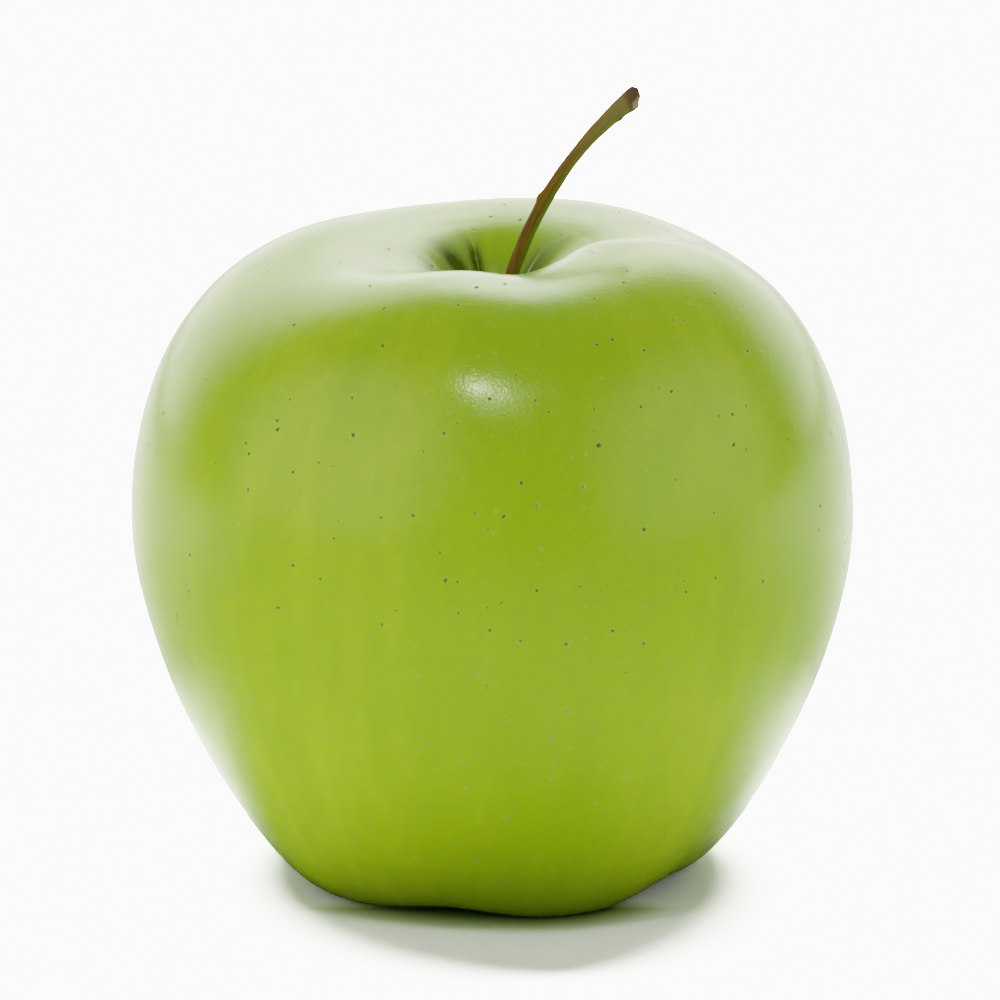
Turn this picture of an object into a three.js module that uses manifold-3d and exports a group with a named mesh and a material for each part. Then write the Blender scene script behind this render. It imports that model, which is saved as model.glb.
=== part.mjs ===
// A green apple on its stem, standing on the five lobes round its calyx basin.
// Millimetres, +Z up. The origin is on the surface that the apple stands on, under the middle of the fruit,
// and -Y is the front. The pieces are the fruit, the stem in its cavity on top, and in the basin underneath
// the five dried sepals round a crown of withered stamens, with the withered styles in the middle.
import * as THREE from "three";
import { mergeVertices } from "three/addons/utils/BufferGeometryUtils.js";
import Module from "manifold-3d";

const wasm = await Module();
wasm.setup();

// ---- Driving dimensions -------------------------------------------------------------------------------------

const WIDEST_R = 40.1; // half of the fruit's width
const WIDEST_Z = 39.8; // the height at which it is widest
const SHOULDER_R = 18.4; // the crest of the shoulder, round the stem cavity
const SHOULDER_Z = 71.3;
const FOOT_R = 19.2; // the ring that the lobes stand on
const FOOT_FLAT = 2.2; // how wide each lobe's flat spot is, across the ring
const THROAT_R = 1.6; // where the cavity closes in on the stem
const THROAT_Z = 56.5;
const EYE_R = 3.4; // the calyx eye, in the top of the basin
const EYE_Z = 7.6;

const LOBES = 5;
const LOBE_TURN = THREE.MathUtils.degToRad(22.5); // from the front to the first lobe, towards +X
const GAP = 0.3; // left between two pieces that touch

// ---- The fruit ----------------------------------------------------------------------------------------------

const SOCKET_DEPTH = 2.4; // how far the stem is set into the flesh
const STEM_BASE_R = 1.15;
const TUBE_R = 2.5; // the short tube behind the calyx eye, where the stamens sit
const TUBE_DEPTH = 1.5;
const FRUIT_SIDES = 75; // 15 to a lobe

// Half of the fruit's section, from the top of the calyx tube down the basin, round the foot, up the flank,
// over the shoulder and down the stem cavity into the socket.
function fruitProfile() {
  const tubeTop = EYE_Z + TUBE_DEPTH;
  const socketR = STEM_BASE_R + GAP;
  const socketZ = THROAT_Z - SOCKET_DEPTH;
  const footIn = FOOT_R - FOOT_FLAT / 2;
  const footOut = FOOT_R + FOOT_FLAT / 2;
  const at = (r, z) => new THREE.Vector2(r, z);
  const points = [at(0, tubeTop), at(TUBE_R, tubeTop), at(EYE_R, EYE_Z)];
  const curveTo = (steps, leaving, arriving, end) => {
    const arc = new THREE.CubicBezierCurve(points.at(-1).clone(), leaving, arriving, end);
    points.push(...arc.getPoints(steps).slice(1));
  };
  // the basin
  curveTo(7, at(EYE_R + 3.6, EYE_Z - 0.2), at(footIn - 5.5, 0), at(footIn, 0));
  points.push(at(footOut, 0));
  // the flank
  curveTo(16, at(footOut + 6.2, 0), at(WIDEST_R, WIDEST_Z - 15), at(WIDEST_R, WIDEST_Z));
  // the shoulder
  curveTo(13, at(WIDEST_R, WIDEST_Z + 20.6), at(SHOULDER_R + 10.6, SHOULDER_Z), at(SHOULDER_R, SHOULDER_Z));
  // the stem cavity
  curveTo(14, at(SHOULDER_R - 8, SHOULDER_Z), at(THROAT_R + 2.2, THROAT_Z + 12), at(THROAT_R, THROAT_Z));
  points.push(at(socketR, socketZ), at(0, socketZ));
  return points;
}

const FOOT_SINK = 0.14; // how deep a lobe is pressed flat where it stands
const FURROW_RISE = 0.9; // how far the furrows between the lobes stand clear of the surface
const LOBE_SHARE = 0.02; // how far the lobes bulge, as a share of the radius
const LOBE_FADE = 20; // the height over which the lobes die away up the flank

// Where the shoulder swells or dips: turn and spread in degrees round the fruit, lift in millimetres.
const SHOULDER_SWELLS = [
  { turn: 14, spread: 22, lift: -1.2 },
  { turn: 66, spread: 22, lift: 1.1 },
  { turn: 104, spread: 30, lift: -1.4 },
  { turn: -62, spread: 42, lift: -2.3 },
  { turn: -150, spread: 40, lift: -0.8 },
];

function shoulderLift(turn) {
  return SHOULDER_SWELLS.reduce((sum, swell) => {
    const away = THREE.MathUtils.radToDeg(turn) - swell.turn;
    const wrapped = THREE.MathUtils.euclideanModulo(away + 180, 360) - 180;
    return sum + swell.lift * Math.exp(-((wrapped / swell.spread) ** 2));
  }, 0);
}

// Moves a point of the plain turned fruit to where it is on the grown one: five lobes round the foot that
// die away upwards, a slightly oval body, and a shoulder that is higher on one side of the stem.
function grow({ x, y, z }) {
  const r = Math.hypot(x, y);
  const turn = Math.atan2(x, -y); // 0 at the front, positive towards +X
  const lobe = Math.cos(LOBES * (turn - LOBE_TURN));
  const furrow = ((1 - lobe) / 2) ** 1.5;
  const atFoot = THREE.MathUtils.smoothstep(r, EYE_R, FOOT_R) * Math.exp(-((z / 9) ** 2));
  const height = THREE.MathUtils.clamp((z - WIDEST_Z) / (SHOULDER_Z - WIDEST_Z), 0, 1);
  const atShoulder = height ** 2 * Math.min(1, r / 12);
  const oval = 0.012 * Math.cos(2 * turn - 0.2) + 0.007 * Math.cos(3 * turn - 2.3);
  const bulge = LOBE_SHARE * Math.exp(-z / LOBE_FADE) * lobe + oval;
  const grownR = r * (1 + bulge * Math.min(1, r / 6));
  const grownZ = z + FURROW_RISE * furrow * atFoot + atShoulder * shoulderLift(turn);
  const pressedZ = z < EYE_Z ? Math.max(0, grownZ - FOOT_SINK) : grownZ;
  return new THREE.Vector3(grownR * Math.sin(turn), -grownR * Math.cos(turn), pressedZ);
}

// Moves every vertex of a geometry by a function from its old place to its new one.
function reshape(geometry, move) {
  const place = geometry.getAttribute("position");
  const point = new THREE.Vector3();
  for (let i = 0; i < place.count; i++) {
    const moved = move(point.fromBufferAttribute(place, i));
    place.setXYZ(i, moved.x, moved.y, moved.z);
  }
  geometry.computeVertexNormals();
  return geometry;
}

function fruitGeometry() {
  const turned = new THREE.LatheGeometry(fruitProfile(), FRUIT_SIDES).rotateX(Math.PI / 2);
  return reshape(turned, grow);
}

// ---- The stem -----------------------------------------------------------------------------------------------

const STEM_SIDES = 12;
const STEM_STEPS = 34;
const STEM_TIP = new THREE.Vector3(15.5, 0, 86.5);
const SCAR_AT = 0.61; // the bud scar's place along the stem
const CUT_SLANT = 0.35; // how far the cut leans back, as a share of the stem's radius there

// The stem stands up out of its socket, then leans over to the right in one long bend.
const stemLine = new THREE.CubicBezierCurve3(
  new THREE.Vector3(0, 0, THROAT_Z - SOCKET_DEPTH + GAP),
  new THREE.Vector3(0, 0, 64.5),
  new THREE.Vector3(4.8, 0, 78.5),
  STEM_TIP,
);

// The stem's radius, t from 0 at the socket to 1 at the cut: stout at its foot, slender in the middle and
// flared where it broke from the twig, with a low bud scar on the outer side of the bend.
function stemRadius(t, side) {
  const foot = 0.5 * Math.exp(-t / 0.35);
  const belly = 0.06 * Math.exp(-(((t - SCAR_AT) / 0.08) ** 2));
  const flare = 0.72 * Math.exp(-(1 - t) / 0.09);
  const scar = 0.26 * Math.exp(-(((t - SCAR_AT) / 0.018) ** 2)) * Math.max(0, -Math.cos(side)) ** 2;
  return 0.6 + foot + belly + flare + scar;
}

function stemGeometry() {
  const rod = new THREE.CylinderGeometry(1, 1, 1, STEM_SIDES, STEM_STEPS);
  return reshape(rod, ({ x, y, z }) => {
    const t = y + 0.5;
    const side = Math.atan2(z, x); // 0 on the inside of the bend
    const along = stemLine.getTangent(t);
    const across = new THREE.Vector3(0, 1, 0).cross(along).normalize(); // towards the inside of the bend
    const over = along.clone().cross(across);
    const r = stemRadius(t, side) * Math.min(1, Math.hypot(x, z));
    const slant = -CUT_SLANT * r * Math.cos(side) * THREE.MathUtils.smoothstep(t, 0.9, 1);
    return stemLine
      .getPoint(t)
      .addScaledVector(across, r * Math.cos(side))
      .addScaledVector(over, -r * Math.sin(side))
      .addScaledVector(along, slant);
  });
}

// ---- The calyx ----------------------------------------------------------------------------------------------

const SEPAL_LENGTH = 5.6;
const SEPAL_WIDTH = 3.8;
const SEPAL_THICK = 0.34;

// One dried sepal: a pointed leaf that hangs from the edge of the eye, leans in over it, is cupped along its
// middle, and turns its tip out again by curl.
function sepalGeometry(curl) {
  const leaf = new THREE.BoxGeometry(1, 1, 1, 4, 10, 1);
  return reshape(leaf, ({ x, y, z }) => {
    const t = 0.5 - y; // 0 at the root, 1 at the tip
    const halfWidth = (SEPAL_WIDTH / 2) * (0.62 + 0.7 * t) * (1 - t) ** 0.62 + 0.1;
    const sideways = 2 * x * halfWidth;
    const lean = EYE_R + 0.35 - 2.2 * Math.sin(0.62 * Math.PI * t) + curl * t ** 3;
    const cup = -0.14 * sideways ** 2;
    const skin = z * SEPAL_THICK * (1 - 0.5 * t);
    const drop = SEPAL_LENGTH * t * (1 - 0.06 * curl * t);
    return new THREE.Vector3(sideways, -(lean + cup + skin), EYE_Z - GAP - drop);
  });
}

// A closed three.js geometry as a manifold-3d solid.
function toSolid(geometry) {
  const bare = geometry.clone();
  bare.deleteAttribute("normal");
  bare.deleteAttribute("uv");
  const merged = mergeVertices(bare, 1e-4);
  const mesh = new wasm.Mesh({
    numProp: 3,
    vertProperties: merged.getAttribute("position").array,
    triVerts: new Uint32Array(merged.index.array),
  });
  return new wasm.Manifold(mesh);
}

// A manifold-3d solid as a three.js geometry.
function toGeometry(solid) {
  const { vertProperties, triVerts } = solid.getMesh();
  const geometry = new THREE.BufferGeometry();
  geometry.setAttribute("position", new THREE.BufferAttribute(vertProperties, 3));
  geometry.setIndex(new THREE.BufferAttribute(triVerts, 1));
  geometry.computeVertexNormals();
  return geometry;
}

// A withered thread that hangs from its root: it tapers, leans out by lean and is bent by hook at its end.
function threadGeometry({ root, length, radius, lean, hook, turn }) {
  const rod = new THREE.CylinderGeometry(1, 1, 1, 6, 5);
  return reshape(rod, ({ x, y, z }) => {
    const t = 0.5 - y;
    const out = lean * t + hook * t ** 3;
    const r = radius * (1 - 0.55 * t);
    const middle = new THREE.Vector3(Math.sin(turn) * out, -Math.cos(turn) * out, -length * t);
    return middle.add(root).add(new THREE.Vector3(x * r, -z * r, 0));
  });
}

const CALYX_TOP = EYE_Z + TUBE_DEPTH - GAP;
const STAMENS = 10;
const CROWN_R = 1.75;
const CROWN_WIDTH = 0.8;
const CROWN_HEIGHT = 0.7;

// The withered stamens: threads that hang from one low ring inside the calyx tube.
function stamensGeometry() {
  const inner = CROWN_R - CROWN_WIDTH / 2;
  const outer = CROWN_R + CROWN_WIDTH / 2;
  const section = [
    new THREE.Vector2(inner, CALYX_TOP - CROWN_HEIGHT),
    new THREE.Vector2(outer, CALYX_TOP - CROWN_HEIGHT),
    new THREE.Vector2(outer, CALYX_TOP),
    new THREE.Vector2(inner, CALYX_TOP),
    new THREE.Vector2(inner, CALYX_TOP - CROWN_HEIGHT),
  ];
  let crown = toSolid(new THREE.LatheGeometry(section, 30).rotateX(Math.PI / 2));
  for (let i = 0; i < STAMENS; i++) {
    const turn = ((i + 0.5) / STAMENS) * 2 * Math.PI;
    const thread = threadGeometry({
      root: new THREE.Vector3(
        CROWN_R * Math.sin(turn),
        -CROWN_R * Math.cos(turn),
        CALYX_TOP - CROWN_HEIGHT / 2,
      ),
      length: 3.3 + 0.6 * Math.sin(2.3 * i),
      radius: 0.2,
      lean: -0.5,
      hook: 0.25 * Math.cos(1.7 * i),
      turn: turn + 0.3 * Math.sin(3.1 * i),
    });
    crown = crown.add(toSolid(thread));
  }
  return toGeometry(crown);
}

const STYLES = 5;
const STYLE_FOOT_HEIGHT = 1.2;

// The withered styles: five threads joined at their foot, in the middle of the eye.
function stylesGeometry() {
  const foot = new THREE.CylinderGeometry(0.55, 0.4, STYLE_FOOT_HEIGHT, 10)
    .rotateX(Math.PI / 2)
    .translate(0, 0, CALYX_TOP - STYLE_FOOT_HEIGHT / 2);
  let bundle = toSolid(foot);
  for (let i = 0; i < STYLES; i++) {
    const turn = (i / STYLES) * 2 * Math.PI;
    const thread = threadGeometry({
      root: new THREE.Vector3(0.2 * Math.sin(turn), -0.2 * Math.cos(turn), CALYX_TOP - 0.7),
      length: 2.1,
      radius: 0.17,
      lean: 0.25,
      hook: 0.2,
      turn,
    });
    bundle = bundle.add(toSolid(thread));
  }
  return toGeometry(bundle);
}

// ---- The whole apple ----------------------------------------------------------------------------------------

const skin = new THREE.MeshStandardMaterial({ color: 0x96b42e, roughness: 0.32, metalness: 0 });
const bark = new THREE.MeshStandardMaterial({ color: 0x6b5a26, roughness: 0.75, metalness: 0 });
const driedLeaf = new THREE.MeshStandardMaterial({ color: 0x6e6248, roughness: 0.9, metalness: 0 });
const driedThread = new THREE.MeshStandardMaterial({ color: 0x3d3022, roughness: 0.95, metalness: 0 });

const apple = new THREE.Group();

function addPiece(name, geometry, material) {
  const piece = new THREE.Mesh(geometry, material);
  piece.name = name;
  apple.add(piece);
  return piece;
}

addPiece("fruit", fruitGeometry(), skin);
addPiece("stem", stemGeometry(), bark);
for (let i = 0; i < LOBES; i++) {
  const sepal = addPiece(`sepal_${i + 1}`, sepalGeometry(1.5 + 0.5 * Math.sin(2 * i)), driedLeaf);
  sepal.rotation.z = LOBE_TURN + ((i + 0.5) / LOBES) * 2 * Math.PI;
}
addPiece("stamens", stamensGeometry(), driedThread);
addPiece("styles", stylesGeometry(), driedThread);

export default apple;
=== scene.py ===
"""A green apple on its stem, standing on a white sweep in soft studio light. Metres, +Z up, -Y is the front.

Shapes are worked out in millimetres, as rings of points, and put into their meshes in metres.
"""

import bpy
import numpy as np
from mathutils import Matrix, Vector


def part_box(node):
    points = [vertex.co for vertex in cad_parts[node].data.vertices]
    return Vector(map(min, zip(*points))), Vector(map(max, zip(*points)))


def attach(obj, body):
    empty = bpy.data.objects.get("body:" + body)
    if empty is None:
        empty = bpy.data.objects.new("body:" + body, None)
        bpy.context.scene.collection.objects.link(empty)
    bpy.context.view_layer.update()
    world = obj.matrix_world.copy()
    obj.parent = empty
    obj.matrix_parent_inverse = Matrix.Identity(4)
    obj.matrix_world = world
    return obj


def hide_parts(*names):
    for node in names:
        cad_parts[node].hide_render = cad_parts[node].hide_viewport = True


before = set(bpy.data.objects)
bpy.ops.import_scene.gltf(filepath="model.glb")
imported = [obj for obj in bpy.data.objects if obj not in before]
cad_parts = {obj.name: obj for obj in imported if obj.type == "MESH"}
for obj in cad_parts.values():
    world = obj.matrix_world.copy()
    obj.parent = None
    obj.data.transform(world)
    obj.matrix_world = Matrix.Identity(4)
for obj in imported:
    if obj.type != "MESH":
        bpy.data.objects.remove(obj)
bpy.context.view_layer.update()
scene = bpy.context.scene

# ---- Camera ----------------------------------------------------------------------------------------------
# A long lens a little above the apple, looking straight at its front and slightly down into the stem cavity.
# It aims just right of the middle of the fruit, so that the leaning stem balances in the frame.

camera_place = Vector((0.0, -0.780, 0.240))
camera_aim = Vector((0.0007, 0.0, 0.0413))
focal_length, sensor_width = 264, 36
nearest_seen = 0.01

lens = bpy.data.cameras.new("camera")
lens.lens = focal_length
lens.sensor_width = sensor_width
lens.clip_start = nearest_seen
camera = bpy.data.objects.new("camera", lens)
camera.location = camera_place
camera.rotation_euler = (camera_aim - camera_place).to_track_quat("-Z", "Y").to_euler()
scene.collection.objects.link(camera)
scene.camera = camera

# The camera's response: each colour rolls off towards white as film does, so bright paper keeps a little
# tone. The curve is set at some lights between black and film_white, and its tones never pass film_top.
film_white = 6.0
film_top = 0.96
film_steps = (0.08, 0.18, 0.3, 0.45, 0.65, 0.9, 1.2, 1.6, 2.1, 2.8, 4.0)


def film_tone(exposed):
    """The tone that film gives a light: in proportion at first, then levelling off towards film_top."""
    return film_top * (1 - np.exp(-exposed / film_top))


view = scene.view_settings
view.view_transform = "Standard"
view.use_curve_mapping = True
film = view.curve_mapping
film.extend = "HORIZONTAL"
film.white_level = (film_white, film_white, film_white)
film_curve = film.curves[3]
film_curve.points[-1].location = (1, film_tone(film_white))
for exposed in film_steps:
    film_curve.points.new(exposed / film_white, film_tone(exposed))
film.update()

# ---- Studio light ----------------------------------------------------------------------------------------
# A white cove behind the apple, with a softbox above it, gives most of the light and the pale reflections on
# the shoulder and both flanks. The front of the room is dim, with a large soft panel on each side of the
# camera, and a small lamp up in front, in the middle of its dimmer diffuser, makes the highlight.


def add_node(tree, kind, inputs=None, **settings):
    """Adds a node, with its settings, its input values, and links where an input is another node's output."""
    made = tree.nodes.new(kind)
    for name, value in settings.items():
        setattr(made, name, value)
    for key, value in (inputs or {}).items():
        if isinstance(value, bpy.types.NodeSocket):
            tree.links.new(value, made.inputs[key])
        else:
            made.inputs[key].default_value = value
    return made


def facing(tree, direction, towards, wide, narrow):
    """1 where a direction is within the narrow angle of another, 0 outside the wide one, smooth between them:
    a smooth ramp on the dot product of the two directions. The angles are in degrees."""
    pair = {0: direction, 1: Vector(towards).normalized()}
    near = add_node(tree, "ShaderNodeVectorMath", pair, operation="DOT_PRODUCT").outputs["Value"]
    ramp = {0: near, 1: np.cos(np.radians(wide)), 2: np.cos(np.radians(narrow))}
    return add_node(tree, "ShaderNodeMapRange", ramp, interpolation_type="SMOOTHSTEP").outputs[0]


def worked(tree, operation, *values):
    """What a Math node makes of its values by one operation, such as POWER."""
    return add_node(tree, "ShaderNodeMath", dict(enumerate(values)), operation=operation).outputs[0]


def weigh(tree, amount, strength):
    """A value times a strength, which may itself be a value."""
    return worked(tree, "MULTIPLY", amount, strength)


def total(tree, *amounts):
    """The sum of several values."""
    result = amounts[0]
    for amount in amounts[1:]:
        result = worked(tree, "ADD", result, amount)
    return result


studio = bpy.data.worlds.new("studio")
studio.use_nodes = True
scene.world = studio
room = studio.node_tree
room.nodes.clear()
looking = add_node(room, "ShaderNodeTexCoord").outputs["Generated"]
white = (1, 1, 1, 1)
dim_room = 0.2
backdrop = 4.0
light = dim_room
for towards, wide, narrow, strength in (
    ((-0.03, 0.99, -0.13), 68, 47, 3.2),  # the cove
    ((0.17, 0.80, 0.57), 19, 5, 2.8),  # the softbox above it
    ((-0.80, -0.48, 0.36), 47, 22, 1.45),  # the panel on the left
    ((0.88, -0.34, 0.31), 44, 18, 1.3),  # the panel on the right
):
    light = total(room, light, weigh(room, facing(room, looking, towards, wide, narrow), strength))
seen = add_node(room, "ShaderNodeBackground", {"Color": white, "Strength": backdrop})
lit = add_node(room, "ShaderNodeBackground", {"Color": white, "Strength": light})
by_camera = add_node(room, "ShaderNodeLightPath").outputs["Is Camera Ray"]
room_look = add_node(room, "ShaderNodeMixShader", {0: by_camera, 1: lit.outputs[0], 2: seen.outputs[0]})
add_node(room, "ShaderNodeOutputWorld", {"Surface": room_look.outputs[0]})

lamp_aim = Vector((0.0, -0.035, 0.057))
lamp_distance = 0.62
for name, towards, width, energy in (
    ("front_lamp", (-0.054, -0.478, 0.877), 0.04, 0.52),
    ("front_lamp_glow", (0.0, -0.535, 0.845), 0.12, 0.24),
):
    lamp_light = bpy.data.lights.new(name, "AREA")
    lamp_light.shape = "DISK"
    lamp_light.size = width
    lamp_light.energy = energy
    lamp = bpy.data.objects.new(name, lamp_light)
    lamp.location = lamp_aim + lamp_distance * Vector(towards)
    lamp.rotation_euler = (lamp_aim - lamp.location).to_track_quat("-Z", "Y").to_euler()
    scene.collection.objects.link(lamp)

# ---- Floor -----------------------------------------------------------------------------------------------
# A wide sheet of matt white sweep paper that the apple stands on. It is lit to a clean white for the camera,
# with a painted dark contact shadow under the front of the fruit, tinted green as if by light bounced off the
# skin.
# To the skin it shows and sends back much less, with painted light: most of it behind the fruit and near its
# foot.

sweep_reach = 3.0
paper_white = 0.93
# The painted contact shadow: its darkest tone, its reach, and the depths over which it fades out towards the
# back.
contact_shadow_dark, contact_shadow_reach = 0.02, 0.006
contact_shadow_front, contact_shadow_back = -0.018, -0.011
# Painted light in the paper's tone for the skin: a pool near the foot, more behind the fruit, and more close
# by for the soft light.
near_share, near_start, near_end = 0.2, 0.035, 0.075
front_share, far_share, far_start, far_end = 0.02, 0.105, 0.005, 0.155
soft_near, soft_away, soft_start, soft_end = 0.19, 0.066, 0.025, 0.08
aside_share = 0.33

sweep_mesh = bpy.data.meshes.new("sweep")
sweep_corners = [(-1, -1, 0), (1, -1, 0), (1, 1, 0), (-1, 1, 0)]
sweep_points = [(x * sweep_reach, y * sweep_reach, z) for x, y, z in sweep_corners]
sweep_mesh.from_pydata(sweep_points, [], [(0, 1, 2, 3)])
sweep = bpy.data.objects.new("sweep", sweep_mesh)
scene.collection.objects.link(sweep)


def ramped(tree, value, low, high, lowest=0.0, highest=1.0, rise="SMOOTHSTEP"):
    """A value carried from lowest at low to highest at high, and level beyond them. It goes smoothly, or in a
    straight line where rise is LINEAR."""
    ends = {0: value, 1: low, 2: high, 3: lowest, 4: highest}
    return add_node(tree, "ShaderNodeMapRange", ends, interpolation_type=rise).outputs[0]


sweep_paper = bpy.data.materials.new("sweep_paper")
sweep_paper.use_nodes = True
paper = sweep_paper.node_tree
paper.nodes.clear()
paper_place = add_node(paper, "ShaderNodeTexCoord").outputs["Object"]
paper_axes = add_node(paper, "ShaderNodeSeparateXYZ", {0: paper_place})
depth = paper_axes.outputs["Y"]
aside = worked(paper, "ABSOLUTE", paper_axes.outputs["X"])
behind = total(paper, depth, weigh(paper, aside, aside_share))
away = add_node(paper, "ShaderNodeVectorMath", {0: paper_place}, operation="LENGTH").outputs["Value"]
ray = add_node(paper, "ShaderNodeLightPath").outputs

# What mirror reflections in the skin see of it: a painted tone, brighter behind the fruit as if lit there,
# with a painted pool of light near its foot and dim in front
at_foot = ramped(paper, away, near_start, near_end, near_share, 0.0, "LINEAR")
not_in_front = ramped(paper, behind, 0.0, 0.02, rise="LINEAR")
far = ramped(paper, behind, far_start, far_end, front_share, far_share, "LINEAR")
mirrored = total(paper, far, weigh(paper, at_foot, not_in_front))

# What the soft light from below has of it: a painted tone, brighter near the fruit's foot as if more light
# fell there
softened = ramped(paper, away, soft_start, soft_end, soft_near, soft_away, "LINEAR")

# What the camera sees of it: a painted contact shadow, dark where the fruit comes down close to it in front,
# and a painted green bounce from the fruit beside that
open_sky = add_node(paper, "ShaderNodeAmbientOcclusion", {"Distance": contact_shadow_reach}, samples=12)
past_front = ramped(paper, depth, contact_shadow_front, contact_shadow_back, rise="LINEAR")
opened = total(paper, open_sky.outputs["AO"], past_front)
painted_shadow = ramped(paper, opened, 0.1, 0.6, contact_shadow_dark, paper_white, "LINEAR")
painted_shadow_green = worked(paper, "POWER", painted_shadow, 0.75)
painted_shadow_blue = worked(paper, "POWER", painted_shadow, 1.8)
painted_contact_shadow = add_node(paper, "ShaderNodeCombineColor", {0: painted_shadow, 1: painted_shadow_green, 2: painted_shadow_blue}).outputs[0]

tones = (painted_contact_shadow, softened, mirrored)
matts = [add_node(paper, "ShaderNodeBsdfDiffuse", {"Color": tone}).outputs[0] for tone in tones]
seen_paper, soft_paper, mirror_paper = matts
bounce = add_node(paper, "ShaderNodeMixShader", {0: ray["Is Glossy Ray"], 1: soft_paper, 2: mirror_paper})
paper_look = {0: ray["Is Camera Ray"], 1: bounce.outputs[0], 2: seen_paper}
paper_surface = add_node(paper, "ShaderNodeMixShader", paper_look).outputs[0]
add_node(paper, "ShaderNodeOutputMaterial", {"Surface": paper_surface})
sweep_mesh.materials.append(sweep_paper)

# A large soft lamp above and behind the apple that lights only the sweep, and so lays the shadow towards
# the camera.
sweep_lamp_rise, sweep_lamp_aside = np.radians(74), -0.04
sweep_lamp_distance = 1.2
sweep_lamp_width, sweep_lamp_depth = 1.5, 0.8
sweep_lamp_energy = 400
sweep_light = bpy.data.lights.new("sweep_lamp", "AREA")
sweep_light.shape = "ELLIPSE"
sweep_light.size = sweep_lamp_width
sweep_light.size_y = sweep_lamp_depth
sweep_light.energy = sweep_lamp_energy
sweep_lamp = bpy.data.objects.new("sweep_lamp", sweep_light)
sweep_lamp_towards = Vector((sweep_lamp_aside, np.cos(sweep_lamp_rise), np.sin(sweep_lamp_rise)))
sweep_lamp.location = sweep_lamp_distance * sweep_lamp_towards
sweep_lamp.rotation_euler = (-sweep_lamp.location).to_track_quat("-Z", "Y").to_euler()
scene.collection.objects.link(sweep_lamp)
lit_by_it = bpy.data.collections.new("lit_by_sweep_lamp")
lit_by_it.objects.link(sweep)
sweep_lamp.light_linking.receiver_collection = lit_by_it

# ---- The fruit -------------------------------------------------------------------------------------------
# Skin and flesh in one grown body: a tall green apple, widest above its middle, that tapers to five lobes
# round the calyx basin and rolls over a wavy shoulder into the stem cavity. The skin is thin and waxy, with
# fine pores.

mm = 0.001


def make_body(name, parts, material, looped=()):
    """A body in metres from parts, each an array of rings of points in millimetres. Points next to each
    other on a ring and on the next ring are joined by quads. Each part's ends are closed on the middles of
    its last rings, but a looped part's last ring is joined to its first instead."""
    points, quads, fans = [], [], []
    count = 0
    for number, rings in enumerate(parts):
        steps, sides = rings.shape[:2]
        joins = steps if number in looped else steps - 1
        step, side = np.meshgrid(np.arange(joins), np.arange(sides), indexing="ij")
        beside = (side + 1) % sides
        ahead = (step + 1) % steps
        corners = [step * sides + side, step * sides + beside, ahead * sides + beside, ahead * sides + side]
        quads.append(count + np.stack(corners, -1).reshape(-1, 4))
        around = np.arange(sides)
        after = (around + 1) % sides
        start, end = steps * sides, steps * sides + 1
        if number not in looped:
            last = start - sides
            fans.append(count + np.stack([start + 0 * around, after, around], -1))
            fans.append(count + np.stack([end + 0 * around, last + around, last + after], -1))
        ends = [] if number in looped else [rings[:1].mean(1), rings[-1:].mean(1)]
        points += [rings.reshape(-1, 3)] + ends
        count += steps * sides + len(ends)
    mesh = bpy.data.meshes.new(name)
    faces = sum((part.tolist() for part in quads + fans), [])
    mesh.from_pydata((np.concatenate(points) * mm).tolist(), [], faces)
    mesh.polygons.foreach_set("use_smooth", np.ones(len(faces), bool))
    mesh.materials.append(material)
    body = bpy.data.objects.new(name, mesh)
    scene.collection.objects.link(body)
    return body


def store(body, name, parts, looped=()):
    """Keeps one number, or three, for each point of a body's parts, for its material to read."""
    flat = []
    for number, values in enumerate(parts):
        row = values.reshape(-1, values.shape[2] if values.ndim == 3 else 1)
        flat += [row] if number in looped else [row, row[:1], row[-1:]]
    wide = flat[0].shape[1]
    layer = body.data.attributes.new(name, "FLOAT_VECTOR" if wide == 3 else "FLOAT", "POINT")
    column = np.concatenate(flat).astype(np.float32).ravel()
    layer.data.foreach_set("vector" if wide == 3 else "value", column)


def smooth_step(value, low, high):
    """0 below low, 1 above high, and an S-shaped rise between them: t squared times 3 - 2 t."""
    t = np.clip((value - low) / (high - low), 0, 1)
    return t * t * (3 - 2 * t)


def curve(start, leaving, arriving, end, steps):
    """Points of the cubic curve that leaves start towards one handle and arrives at end from the other: the
    four points mixed in the shares (1 - t) cubed, 3 (1 - t) squared t, 3 (1 - t) t squared and t cubed."""
    t = np.linspace(0, 1, steps, endpoint=False)[:, None]
    first, second, third, fourth = (1 - t) ** 3, 3 * (1 - t) ** 2 * t, 3 * (1 - t) * t**2, t**3
    start, leaving, arriving, end = (np.array(point) for point in (start, leaving, arriving, end))
    return first * start + second * leaving + third * arriving + fourth * end


def straight(start, end, steps):
    """Evenly spaced points from start up to end."""
    t = np.linspace(0, 1, steps, endpoint=False)[:, None]
    return (1 - t) * np.array(start) + t * np.array(end)


widest_r, widest_z = 40.1, 39.8
shoulder_r, shoulder_z = 18.4, 71.3
foot_r, foot_flat = 19.2, 2.2
throat_r, throat_z = 1.6, 56.5
eye_r, eye_z = 3.4, 7.6
tube_r, tube_top = 2.5, 9.1
socket_r, socket_z = 1.45, 54.1
lobes, lobe_turn = 5, np.radians(22.5)
furrow_height, foot_pressed = 0.9, 0.14
shoulder_swells = (1.1, 66, 22), (-1.2, 14, 22), (-1.4, 104, 30), (-2.3, -62, 42), (-0.8, -150, 40)
foot_in, foot_out = foot_r - foot_flat / 2, foot_r + foot_flat / 2

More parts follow.
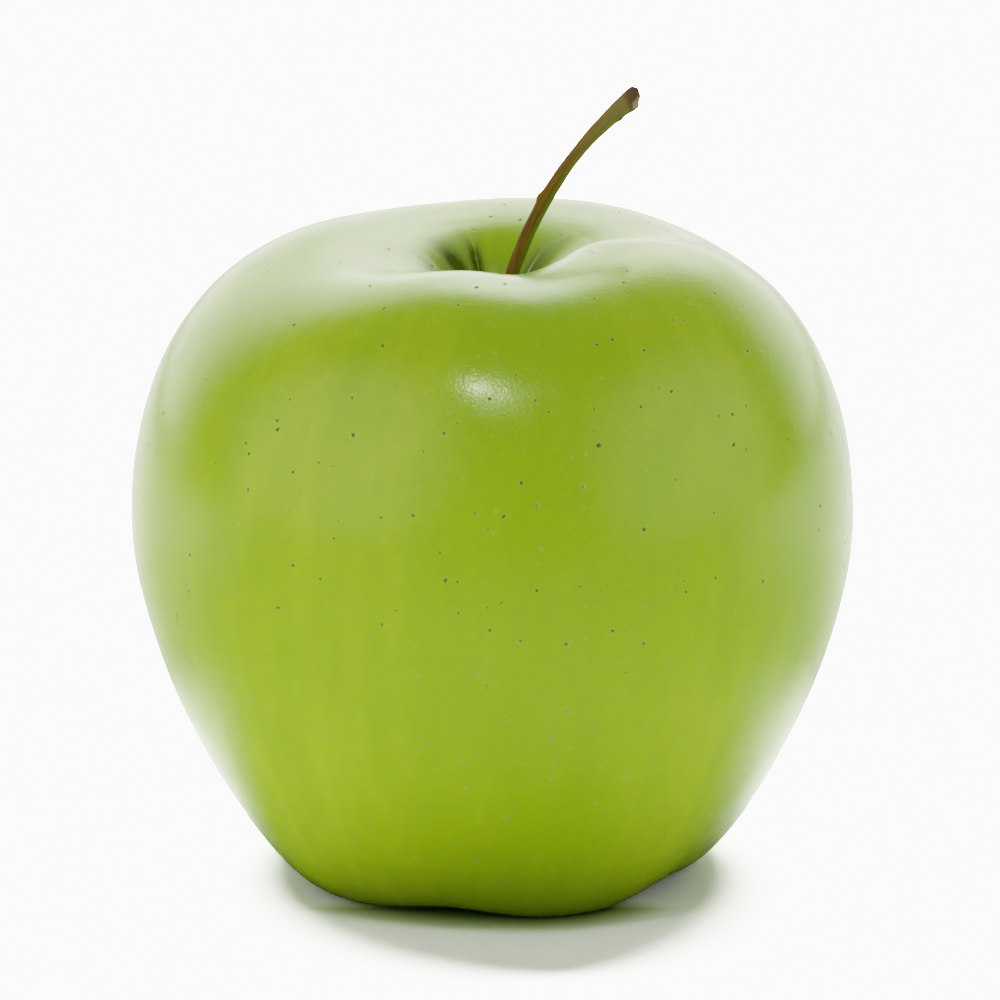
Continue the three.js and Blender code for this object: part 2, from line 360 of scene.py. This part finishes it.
fruit_sections = [
    straight((0.02, tube_top), (tube_r, tube_top), 5),
    straight((tube_r, tube_top), (eye_r, eye_z), 6),
    curve((eye_r, eye_z), (eye_r + 3.6, eye_z - 0.2), (foot_in - 5.5, 0), (foot_in, 0), 44),
    straight((foot_in, 0), (foot_out, 0), 6),
    curve((foot_out, 0), (foot_out + 6.2, 0), (widest_r, widest_z - 15), (widest_r, widest_z), 84),
    curve(
        (widest_r, widest_z),
        (widest_r, widest_z + 20.6),
        (shoulder_r + 10.6, shoulder_z),
        (shoulder_r, shoulder_z),
        76,
    ),
    curve(
        (shoulder_r, shoulder_z),
        (shoulder_r - 8, shoulder_z),
        (throat_r + 2.2, throat_z + 12),
        (throat_r, throat_z),
        60,
    ),
    straight((throat_r, throat_z), (socket_r, socket_z), 5),
    straight((socket_r, socket_z), (0.02, socket_z), 4),
]
fruit_profile = np.concatenate(fruit_sections)
fruit_part = np.concatenate([np.full(len(part), number) for number, part in enumerate(fruit_sections)])
fruit_sides = 300

r = fruit_profile[:, :1]
z = fruit_profile[:, 1:]
turn = np.linspace(-np.pi, np.pi, fruit_sides, endpoint=False)[None, :]


def swelling(turn, middle, spread):
    """A rounded bump round the fruit, 1 at the middle turn: e to the power of minus the square of the turn
    away from the middle over the spread. Both are in degrees."""
    off = (np.degrees(turn) - middle + 180) % 360 - 180
    return np.exp(-((off / spread) ** 2))


def swellings(turn, *bumps):
    """The sum of several rounded bumps, each given as its height, its middle turn and its spread."""
    return sum(height * swelling(turn, middle, spread) for height, middle, spread in bumps)


def grow(r, z, turn):
    """Where a point of the plain turned fruit comes to be on the grown one. The radius swells by a cosine of
    five waves that dies away upwards, and by two and three waves for a slightly oval body. The height is
    lifted in the furrows between the lobes and by the shoulder's swells, and the foot is pressed flat."""
    lobe = np.cos(lobes * (turn - lobe_turn))
    furrow = ((1 - lobe) / 2) ** 1.5
    low_down = smooth_step(r, eye_r, foot_r) * np.exp(-((z / 9) ** 2))
    at_shoulder = np.clip((z - widest_z) / (shoulder_z - widest_z), 0, 1) ** 2 * np.minimum(1, r / 12)
    lift = swellings(turn, *shoulder_swells)
    oval = 0.012 * np.cos(2 * turn - 0.2) + 0.007 * np.cos(3 * turn - 2.3)
    bulge = 0.02 * np.exp(-z / 20) * lobe + oval
    grown_r = r * (1 + bulge * np.minimum(1, r / 6))
    grown_z = z + furrow_height * furrow * low_down + at_shoulder * lift
    pressed_z = np.where(z < eye_z, np.maximum(0, grown_z - foot_pressed), grown_z)
    return grown_r, pressed_z


grown_r, grown_z = grow(r, z, turn)

# The skin isn't quite even: low swells a centimetre or so across, and folds that run down into the cavity
swell_height = 0.06
in_cavity = np.clip((shoulder_z - z) / (shoulder_z - throat_z), 0, 1) * (fruit_part[:, None] >= 6)
in_basin = np.clip(1 - r / foot_in, 0, 1) * (fruit_part[:, None] <= 2)
on_side = smooth_step(z, 3, 15) * (1 - smooth_step(in_cavity, 0, 0.2)) * (fruit_part[:, None] >= 4)
unevenness = (
    np.sin(7 * turn + 0.11 * z) * np.sin(0.17 * z + 2.0 * np.sin(3 * turn))
    + 0.7 * np.sin(11 * turn - 0.2 * z + 1.3) * np.sin(0.26 * z + 1.0)
)
folds = swellings(
    turn, (0.3, -128, 9), (-0.25, -112, 11), (0.35, -152, 8), (0.4, 128, 9), (-0.25, 40, 12), (0.3, 0, 12)
)
fold_depth = smooth_step(in_cavity, 0.05, 0.4) * (1 - smooth_step(in_cavity, 0.8, 1.0))
grown_r = grown_r + swell_height * unevenness * on_side - folds * fold_depth

fruit_rings = np.stack([grown_r * np.sin(turn), -grown_r * np.cos(turn), grown_z], -1)
fruit_low, fruit_high = (np.array(corner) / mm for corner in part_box("fruit"))
rings_low, rings_high = fruit_rings.min((0, 1)), fruit_rings.max((0, 1))
fruit_rings = fruit_low + (fruit_rings - rings_low) * (fruit_high - fruit_low) / (rings_high - rings_low)


def mixed(tree, amount, base, top):
    """One colour laid over another by an amount from 0 to 1."""
    made = add_node(tree, "ShaderNodeMix", {0: amount, 6: base, 7: top}, data_type="RGBA")
    return made.outputs[2]


def kept(tree, name, output="Fac"):
    """What the mesh keeps at each point under a name."""
    return add_node(tree, "ShaderNodeAttribute", attribute_name=name).outputs[output]


def stretched(tree, vector, scale):
    """A vector times a scale along each axis."""
    made = add_node(tree, "ShaderNodeVectorMath", {0: vector, 1: scale}, operation="MULTIPLY")
    return made.outputs["Vector"]


def noise(tree, vector, scale, detail=3.0, roughness=0.5):
    """Cloudy noise between 0 and 1."""
    values = {"Vector": vector, "Scale": scale, "Detail": detail, "Roughness": roughness}
    return add_node(tree, "ShaderNodeTexNoise", values).outputs[0]


def pores(tree, place, spacing, largest):
    """The skin's pores: 1 in the middle of each, fading to 0 at its edge. Their spacing, and the radius of
    the largest, are in metres. Each pore's own random number gives its size, and most are small."""
    cells = add_node(tree, "ShaderNodeTexVoronoi", {"Vector": place, "Scale": 1 / spacing, "Randomness": 1.0})
    own = add_node(tree, "ShaderNodeSeparateColor", {0: cells.outputs["Color"]}).outputs[0]
    radius = weigh(tree, worked(tree, "POWER", own, 1.6), largest / spacing)
    share = worked(tree, "DIVIDE", cells.outputs["Distance"], radius)
    return ramped(tree, share, 0.5, 1.0, 1.0, 0.0)


yellow_green, light_green = (0.37, 0.56, 0.004, 1), (0.41, 0.58, 0.012, 1)
deep_green, streak_green, mottle_green = (0.27, 0.46, 0.0, 1), (0.28, 0.46, 0.0, 1), (0.27, 0.47, 0.0, 1)
cavity_green_and_shade, russet_olive, basin_olive = (0.24, 0.37, 0.003, 1), (0.045, 0.055, 0.0, 1), (0.17, 0.2, 0.03, 1)
pore_pale, pore_dark = (0.5, 0.62, 0.2, 1), (0.06, 0.1, 0.0, 1)
cloud_scale, streak_scale, mottle_scale, ray_scale = 38.0, 9.0, 170.0, 15.0
streak_strength, mottle_strength, russet_strength = 0.3, 0.35, 0.92
dark_strength, edge_strength, pale_strength = 0.85, 0.12, 0.2
peel_scale, dent_scale = 2600.0, 520.0
pore_spacing = 0.0016
pore_wobble, wobble_reach, pale_offset = 1500.0, (0.0004,) * 3, (0.31, 0.17, 0.23)
dark_pore_r, pore_edge_r, pale_pore_r = 0.00030, 0.00062, 0.00038
gloss, gloss_lost = 0.5, 0.48

skin = bpy.data.materials.new("apple_skin")
skin.use_nodes = True
tree = skin.node_tree
tree.nodes.clear()
place = add_node(tree, "ShaderNodeTexCoord").outputs["Object"]
grain = kept(tree, "grain", "Vector")
cavity = kept(tree, "cavity")
basin = kept(tree, "basin")
russet = kept(tree, "russet")
height = add_node(tree, "ShaderNodeSeparateXYZ", {0: place}).outputs["Z"]

# Yellow-green and deeper green in wide clouds and in soft streaks from the stem down to the calyx
clouds = ramped(tree, noise(tree, place, cloud_scale), 0.35, 0.65)
streaks = ramped(tree, noise(tree, stretched(tree, grain, (1, 1, 0.22)), streak_scale, 4.0), 0.38, 0.62)
colour = mixed(tree, clouds, yellow_green, light_green)
colour = mixed(tree, kept(tree, "deep"), colour, deep_green)
colour = mixed(tree, weigh(tree, streaks, streak_strength), colour, streak_green)
mottle = ramped(tree, noise(tree, stretched(tree, place, (1, 1, 0.4)), mottle_scale), 0.4, 0.66)
colour = mixed(tree, weigh(tree, mottle, mottle_strength), colour, mottle_green)

# The cavity: deeper, darker green towards the stem, partly its own colour and partly painted shade, with
# olive russet in streaks that run down the folds
rays = noise(tree, stretched(tree, grain, (1, 1, 0.3)), ray_scale)
in_shade = ramped(tree, cavity, 0.02, 0.6, 0.0, 0.85)
colour = mixed(tree, in_shade, colour, cavity_green_and_shade)
ray_mask = weigh(tree, russet, ramped(tree, rays, 0.28, 0.46))
colour = mixed(tree, weigh(tree, ray_mask, russet_strength), colour, russet_olive)
colour = mixed(tree, ramped(tree, basin, 0.35, 0.8, 0.0, 0.75), colour, basin_olive)

# Pores: dark ones on the upper part, pale ones all over, and a faint pale edge round each dark one
upper = ramped(tree, height, 0.018, 0.042)
open_skin = worked(tree, "SUBTRACT", 1.0, cavity)
wobble = add_node(tree, "ShaderNodeTexNoise", {"Vector": place, "Scale": pore_wobble, "Detail": 1.0})
moved = {0: wobble.outputs["Color"], 1: wobble_reach, 2: place}
ragged = add_node(tree, "ShaderNodeVectorMath", moved, operation="MULTIPLY_ADD").outputs[0]
dark_pores = pores(tree, ragged, pore_spacing, dark_pore_r)
pore_edges = pores(tree, ragged, pore_spacing, pore_edge_r)
elsewhere = add_node(tree, "ShaderNodeVectorMath", {0: ragged, 1: pale_offset}, operation="ADD")
pale_pores = pores(tree, elsewhere.outputs[0], pore_spacing, pale_pore_r)
colour = mixed(tree, weigh(tree, weigh(tree, pore_edges, edge_strength), open_skin), colour, pore_pale)
colour = mixed(tree, weigh(tree, weigh(tree, pale_pores, pale_strength), open_skin), colour, pore_pale)
dark_here = weigh(tree, weigh(tree, weigh(tree, dark_pores, dark_strength), open_skin), upper)
colour = mixed(tree, dark_here, colour, pore_dark)

# A glossy wax with faint pebbling and a little pit at each dark pore, duller on the pores and the russet
peel = noise(tree, place, peel_scale, 2.0)
dents = noise(tree, place, dent_scale, 2.0)
relief = total(tree, weigh(tree, peel, 0.6), weigh(tree, dents, 0.5), weigh(tree, dark_pores, -0.8))
dull = worked(tree, "MAXIMUM", dark_here, ray_mask)
bump = add_node(tree, "ShaderNodeBump", {"Strength": 0.6, "Distance": 0.00006, "Height": relief})
surface = add_node(
    tree,
    "ShaderNodeBsdfPrincipled",
    {
        "Base Color": colour,
        "Roughness": total(tree, ramped(tree, dents, 0.3, 0.7, 0.18, 0.24), weigh(tree, dull, 0.5)),
        "Specular IOR Level": worked(tree, "MULTIPLY_ADD", dull, -gloss_lost, gloss),
        "IOR": 1.45,
        "Subsurface Weight": 0.12,
        "Subsurface Radius": (0.8, 1.0, 0.25),
        "Subsurface Scale": 0.003,
        "Normal": bump.outputs[0],
    },
)
add_node(tree, "ShaderNodeOutputMaterial", {"Surface": surface.outputs[0]})

fruit = make_body("apple_fruit", [fruit_rings], skin)
grain_length = 3
along_skin = np.linspace(0, grain_length, len(fruit_profile))[:, None] + 0 * turn
store(fruit, "grain", [np.stack([np.sin(turn) + 0 * r, -np.cos(turn) + 0 * r, along_skin], -1)])
store(fruit, "cavity", [in_cavity + 0 * turn])
store(fruit, "basin", [in_basin + 0 * turn])
deeper = swellings(turn, (0.75, 10, 24), (0.3, -58, 9), (0.45, 60, 12), (0.5, 150, 30), (0.4, -130, 22))
store(fruit, "deep", [np.clip(deeper, 0, 1) + 0 * r])
russet_spots = (1.3, -138, 13), (1.3, -163, 7), (0.4, -100, 14), (0.8, 134, 14), (0.6, 0, 60)
russet_patches = swellings(turn, *russet_spots)
russet_depth = smooth_step(in_cavity, 0.06, 0.3)
store(fruit, "russet", [np.clip(russet_patches * russet_depth + smooth_step(in_cavity, 0.75, 1.0), 0, 1)])
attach(fruit, "root")
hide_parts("fruit")

# ---- The stem --------------------------------------------------------------------------------------------
# A woody stalk, stout where it grows out of the cavity and bent over to the right, with one bud scar on the
# outside of the bend and a small wart near the end. The end is flared, where it tore off the twig: a rounded
# lump of frayed wood in dark bark, chipped to pale wood on one side.

stem_length = np.concatenate([np.linspace(0, 0.9, 110, endpoint=False), np.linspace(0.9, 1, 26)])
stem_foot = np.array([0, 0, 54.4])
stem_rise = np.array([0, 0, 64.5])
stem_lean = np.array([4.8, 0, 78.5])
stem_tip = np.array([15.5, 0, 86.5])
stalk_r = 0.59
scar_at, scar_spread = 0.61, 0.012
wart_at, wart_spread = 0.925, 0.01


def stem_middle(t):
    """The stem's middle line, a cubic curve up out of the socket and over to the right, and its direction,
    which is the curve's rate of change made one long."""
    u = 1 - t
    middle = u**3 * stem_foot + 3 * u**2 * t * stem_rise + 3 * u * t**2 * stem_lean + t**3 * stem_tip
    heading = 3 * (
        u**2 * (stem_rise - stem_foot) + 2 * u * t * (stem_lean - stem_rise) + t**2 * (stem_tip - stem_lean)
    )
    return middle, heading / np.linalg.norm(heading, axis=-1, keepdims=True)


def wart_on_stem(t, side):
    """1 at a small wart on the inside of the bend, a little below the torn end, and 0 away from it: e to the
    power of minus the square of the way off over its spread, times a cosine round the stem to the eighth."""
    return np.exp(-(((t - wart_at) / wart_spread) ** 2)) * np.maximum(0, np.cos(side + 0.3)) ** 8


def stem_radius(t, side):
    """The stem's radius along it and round it: a slender stalk, plus a thickening that dies away from the
    foot, a low belly and a scar on the bend, a flare that dies away from the end, ridges, knobs and the
    wart."""
    foot = 0.5 * np.exp(-t / 0.35)
    belly = 0.06 * np.exp(-(((t - scar_at) / 0.08) ** 2))
    flare = 0.72 * np.exp(-(1 - t) / 0.09)
    scar = 0.26 * np.exp(-(((t - scar_at) / scar_spread) ** 2)) * np.maximum(0, -np.cos(side)) ** 2
    ridges = 0.016 * np.sin(5 * side + 3 * t) + 0.012 * np.sin(9 * side - 5 * t)
    knobs = 0.02 * np.sin(31 * t + 2 * side) + 0.014 * np.sin(57 * t - 3 * side + 1)
    wart = 0.17 * wart_on_stem(t, side)
    return stalk_r + foot + belly + flare + scar + ridges + knobs + wart


side = np.linspace(0, 2 * np.pi, 56, endpoint=False)[None, :]
t = stem_length[:, None]
middle, heading = stem_middle(t[..., None])
across = np.cross([0, 1, 0], heading)
over = np.cross(heading, across)
radius = stem_radius(t, side)
torn = smooth_step(t, 0.96, 1)
tear = 0.09 * np.sin(4 * side + 0.6) + 0.07 * np.sin(9 * side + 2) + 0.05 * np.sin(17 * side)
slant = -0.35 * radius * np.cos(side) * smooth_step(t, 0.9, 1) + torn * (tear - 0.42)
radius = radius * (1 - 0.14 * torn**2 + 0.04 * torn * np.sin(11 * side + 1.0))
bark_rings = (
    middle
    + (radius * np.cos(side))[..., None] * across
    + (radius * np.sin(side))[..., None] * over
    + slant[..., None] * heading
)

# The torn end: rings that draw in from the rim of bark over a rough, rounded lump of frayed wood
inward = np.array([0.95, 0.88, 0.8, 0.7, 0.58, 0.45, 0.3, 0.15])[:, None]
lump = 0.42 * np.sqrt(1 - inward**2) + 0.14 * np.sin(5 * side + 7 * inward) * np.sin(np.pi * inward)
end_middle = middle[-1]
rim = bark_rings[-1] - end_middle
wood_rings = end_middle + inward[..., None] * rim + lump[..., None] * heading[-1]
stem_rings = np.concatenate([bark_rings, wood_rings])
stem_low, stem_high = (np.array(corner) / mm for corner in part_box("stem"))
stem_rings = np.clip(stem_rings, stem_low, stem_high)

fibres = bpy.data.node_groups.new("dry_fibres", "ShaderNodeTree")
for socket, kind in (
    ("Vector", "NodeSocketVector"),
    ("Dark", "NodeSocketColor"),
    ("Light", "NodeSocketColor"),
):
    fibres.interface.new_socket(socket, in_out="INPUT", socket_type=kind)
fibres.interface.new_socket("Color", in_out="OUTPUT", socket_type="NodeSocketColor")
fibres.interface.new_socket("Height", in_out="OUTPUT", socket_type="NodeSocketFloat")
given = add_node(fibres, "NodeGroupInput")
strands = noise(fibres, given.outputs["Vector"], 1.0, 4.0, 0.6)
blotches = noise(fibres, stretched(fibres, given.outputs["Vector"], (0.3, 0.3, 0.9)), 1.0, 2.0)
shade = total(fibres, weigh(fibres, strands, 0.6), weigh(fibres, blotches, 0.4))
fibre_colour = mixed(fibres, ramped(fibres, shade, 0.38, 0.62), given.outputs["Dark"], given.outputs["Light"])
add_node(fibres, "NodeGroupOutput", {"Color": fibre_colour, "Height": strands})


def dry_finish(name, vector_scale, dark, light, roughness, tint=None):
    """A dull dried plant surface in two shades of fibre. tint(tree, colour) may lay more colour over it."""
    made = bpy.data.materials.new(name)
    made.use_nodes = True
    tree = made.node_tree
    tree.nodes.clear()
    strands = add_node(tree, "ShaderNodeGroup", node_tree=fibres)
    tree.links.new(stretched(tree, kept(tree, "grain", "Vector"), vector_scale), strands.inputs["Vector"])
    strands.inputs["Dark"].default_value = dark
    strands.inputs["Light"].default_value = light
    colour = strands.outputs["Color"]
    if tint:
        colour = tint(tree, colour)
    bump = add_node(
        tree, "ShaderNodeBump", {"Strength": 0.7, "Distance": 0.0001, "Height": strands.outputs["Height"]}
    )
    surface = add_node(
        tree,
        "ShaderNodeBsdfPrincipled",
        {"Base Color": colour, "Roughness": roughness, "Specular IOR Level": 0.18, "Normal": bump.outputs[0]},
    )
    add_node(tree, "ShaderNodeOutputMaterial", {"Surface": surface.outputs[0]})
    return made


bark_dark, bark_light = (0.12, 0.052, 0.0, 1), (0.22, 0.115, 0.0, 1)
bark_green, bark_grey = (0.15, 0.22, 0.002, 1), (0.25, 0.22, 0.06, 1)
end_dark, wart_dark, pale_wood = (0.075, 0.04, 0.02, 1), (0.06, 0.035, 0.01, 1), (0.6, 0.46, 0.27, 1)


def bark_tint(tree, colour):
    """Green on the inside of the bend, grey-green towards the torn end, dark bark round it and on the wart,
    and pale wood where the end is chipped."""
    along = kept(tree, "along")
    inside = kept(tree, "inside")
    colour = mixed(tree, ramped(tree, inside, 0.3, 0.98, 0.0, 0.75), colour, bark_green)
    colour = mixed(tree, ramped(tree, along, 0.6, 0.95, 0.0, 0.55), colour, bark_grey)
    colour = mixed(tree, ramped(tree, along, 0.955, 0.99, 0.0, 0.85), colour, end_dark)
    colour = mixed(tree, kept(tree, "wart"), colour, wart_dark)
    return mixed(tree, kept(tree, "wood"), colour, pale_wood)


stalk = dry_finish("stalk_bark", (7, 7, 10), bark_dark, bark_light, roughness=0.7, tint=bark_tint)
stem = make_body("apple_stem", [stem_rings], stalk)
all_t = np.concatenate([t, np.ones_like(inward)])
stem_grain = np.stack([np.cos(side) + 0 * all_t, np.sin(side) + 0 * all_t, all_t + 0 * side], -1)
store(stem, "grain", [stem_grain])
store(stem, "along", [all_t + 0 * side])
store(stem, "inside", [np.cos(side + 0.3) + 0 * all_t])
chipped = smooth_step(np.cos(side + 0.6), 0.55, 0.9) * (0.6 + 0.4 * np.sin(13 * side))
bare_end = np.concatenate([smooth_step(t, 0.984, 0.993), smooth_step(inward, 0.1, 0.5)])
store(stem, "wood", [bare_end * chipped])
store(stem, "wart", [np.concatenate([wart_on_stem(t, side), 0 * inward * side])])
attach(stem, "root")
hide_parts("stem")

# ---- The sepals ------------------------------------------------------------------------------------------
# Five small dried leaves, left from the flower, that hang from the edge of the eye underneath. Each is thin,
# pointed and crumpled, cupped along its middle, and turns its tip out again.

sepal_length, sepal_width, sepal_thick = 5.6, 3.8, 0.3
leaf_steps, leaf_sides = 44, 28
root_out, root_down, lean_in = 0.35, 0.3, 2.2


def sepal_rings(curl, direction, crumple):
    """Rings across the leaf from its root to its tip. Each is a flat loop as wide as the leaf there, on a
    middle line that leans in by a sine and out again by curl times the cube of the way along. The loop is
    cupped by the square of the way sideways, and crumpled by waves that run both ways."""
    t = np.linspace(0, 1, leaf_steps)[:, None]
    loop = np.linspace(0, -2 * np.pi, leaf_sides, endpoint=False)[None, :]
    half_width = sepal_width / 2 * (0.62 + 0.7 * t) * (1 - t) ** 0.62 + 0.06
    sideways = half_width * np.cos(loop)
    thickness = sepal_thick / 2 * (1 - 0.55 * t) * np.sin(loop)
    lean = eye_r + root_out - lean_in * np.sin(0.62 * np.pi * t) + curl * t**3
    cup = -0.14 * sideways**2
    waves = 0.1 * np.sin(5 * t + crumple) * np.sin(2.4 * sideways + crumple) * smooth_step(t, 0, 0.3)
    drop = sepal_length * t * (1 - 0.06 * curl * t)
    out = lean + cup + waves - thickness
    x = sideways
    y = -out
    z = eye_z - root_down - drop + 0 * loop
    turned_x = x * np.cos(direction) - y * np.sin(direction)
    turned_y = x * np.sin(direction) + y * np.cos(direction)
    grain = np.stack([sideways, thickness, 0.5 * t * sepal_length + 0 * loop], -1)
    return np.stack([turned_x, turned_y, z], -1), grain


leaf_dark, leaf_light, leaf_downy = (0.06, 0.04, 0.016, 1), (0.2, 0.155, 0.07, 1), (0.2, 0.18, 0.11, 1)


def sepal_tint(tree, colour):
    """A paler, downy grey towards the tip."""
    return mixed(tree, ramped(tree, kept(tree, "along"), 0.2, 1.0, 0.0, 0.5), colour, leaf_downy)


dried_leaf = dry_finish("dried_leaf", (3.5, 3.5, 1.2), leaf_dark, leaf_light, roughness=0.85, tint=sepal_tint)
for number in range(lobes):
    curl = 1.5 + 0.5 * np.sin(2 * number)
    direction = lobe_turn + (number + 0.5) / lobes * 2 * np.pi
    rings, leaf_grain = sepal_rings(curl, direction, 1.9 * number)
    sepal = make_body(f"apple_sepal_{number + 1}", [rings], dried_leaf)
    store(sepal, "grain", [leaf_grain])
    store(sepal, "along", [np.linspace(0, 1, len(rings))[:, None] + np.zeros((1, leaf_sides))])
    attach(sepal, "root")
    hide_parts(f"sepal_{number + 1}")

# ---- The stamens -----------------------------------------------------------------------------------------
# The flower's withered stamens: a low ring inside the calyx tube, with thin brittle threads hanging from it,
# each ending in a shrivelled knob.

calyx_top = tube_top - 0.3
crown_r, crown_width, crown_height = 1.75, 0.8, 0.7


def thread_rings(root, length, radius, lean, hook, turn, knob):
    """Rings down a thread from its root. It goes out by lean times the way down plus hook times its cube, and
    its radius tapers to under half, with a knob that swells near the tip and closes to a point."""
    t = np.linspace(0, 1, 26)[:, None]
    side = np.linspace(0, 2 * np.pi, 12, endpoint=False)[None, :]
    out = lean * t + hook * t**3
    thick = radius * (1 - 0.55 * t) + knob * np.exp(-(((t - 0.93) / 0.06) ** 2))
    thick = thick * np.sqrt(np.clip(1 - t, 0, 0.06) / 0.06 + 1e-4)
    x = root[0] + np.sin(turn) * out + thick * np.cos(side)
    y = root[1] - np.cos(turn) * out - thick * np.sin(side)
    return np.stack([x, y, root[2] - length * t + 0 * side], -1)


def crown_rings():
    """Rings round the band of the crown, carried all the way round the tube. The band is a square with
    rounded edges, a cosine and a sine each to the power 0.6, and ten low waves round the tube frill it."""
    band = np.linspace(0, 2 * np.pi, 18, endpoint=False)[None, :]
    turn = np.linspace(0, 2 * np.pi, 72, endpoint=False)[:, None]
    frill = 1 + 0.06 * np.sin(10 * turn)
    wide = np.sign(np.cos(band)) * np.abs(np.cos(band)) ** 0.6 * frill
    high = np.sign(np.sin(band)) * np.abs(np.sin(band)) ** 0.6
    r = crown_r + crown_width / 2 * 0.93 * wide
    z = calyx_top - crown_height / 2 - crown_height / 2 * 0.98 * high + 0 * turn
    return np.stack([r * np.sin(turn), -r * np.cos(turn), z], -1)


thread_dark, thread_light = (0.018, 0.01, 0.004, 1), (0.1, 0.065, 0.03, 1)
dried_thread = dry_finish("dried_thread", (3, 3, 2), thread_dark, thread_light, roughness=0.9)
stamen_count = 10
stamen_parts = [crown_rings()]
for number in range(stamen_count):
    turn_here = (number + 0.5) / stamen_count * 2 * np.pi
    stamen_parts.append(
        thread_rings(
            root=(crown_r * np.sin(turn_here), -crown_r * np.cos(turn_here), calyx_top - crown_height / 2),
            length=3.3 + 0.6 * np.sin(2.3 * number),
            radius=0.17,
            lean=-0.5,
            hook=0.25 * np.cos(1.7 * number),
            turn=turn_here + 0.3 * np.sin(3.1 * number),
            knob=0.12,
        )
    )
stamens = make_body("apple_stamens", stamen_parts, dried_thread, looped=(0,))
store(stamens, "grain", stamen_parts, looped=(0,))
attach(stamens, "root")
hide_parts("stamens")

# ---- The styles ------------------------------------------------------------------------------------------
# The flower's five withered styles: short dry threads that spread a little from the one foot that joins them.
# The foot grows down from the top of the calyx tube, in the middle of the eye.

style_foot = np.linspace(0, 1, 10)[:, None]
foot_side = np.linspace(0, 2 * np.pi, 20, endpoint=False)[None, :]
foot_thick = (0.54 - 0.15 * style_foot) * (1 + 0.05 * np.sin(5 * foot_side))
foot_drop = calyx_top - 1.2 * style_foot + 0 * foot_side
style_parts = [np.stack([foot_thick * np.cos(foot_side), -foot_thick * np.sin(foot_side), foot_drop], -1)]
for number in range(lobes):
    turn_here = number / lobes * 2 * np.pi
    style_parts.append(
        thread_rings(
            root=(0.2 * np.sin(turn_here), -0.2 * np.cos(turn_here), calyx_top - 0.7),
            length=2.1,
            radius=0.16,
            lean=0.25,
            hook=0.2,
            turn=turn_here,
            knob=0.05,
        )
    )
styles = make_body("apple_styles", style_parts, dried_thread)
store(styles, "grain", style_parts)
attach(styles, "root")
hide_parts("styles")
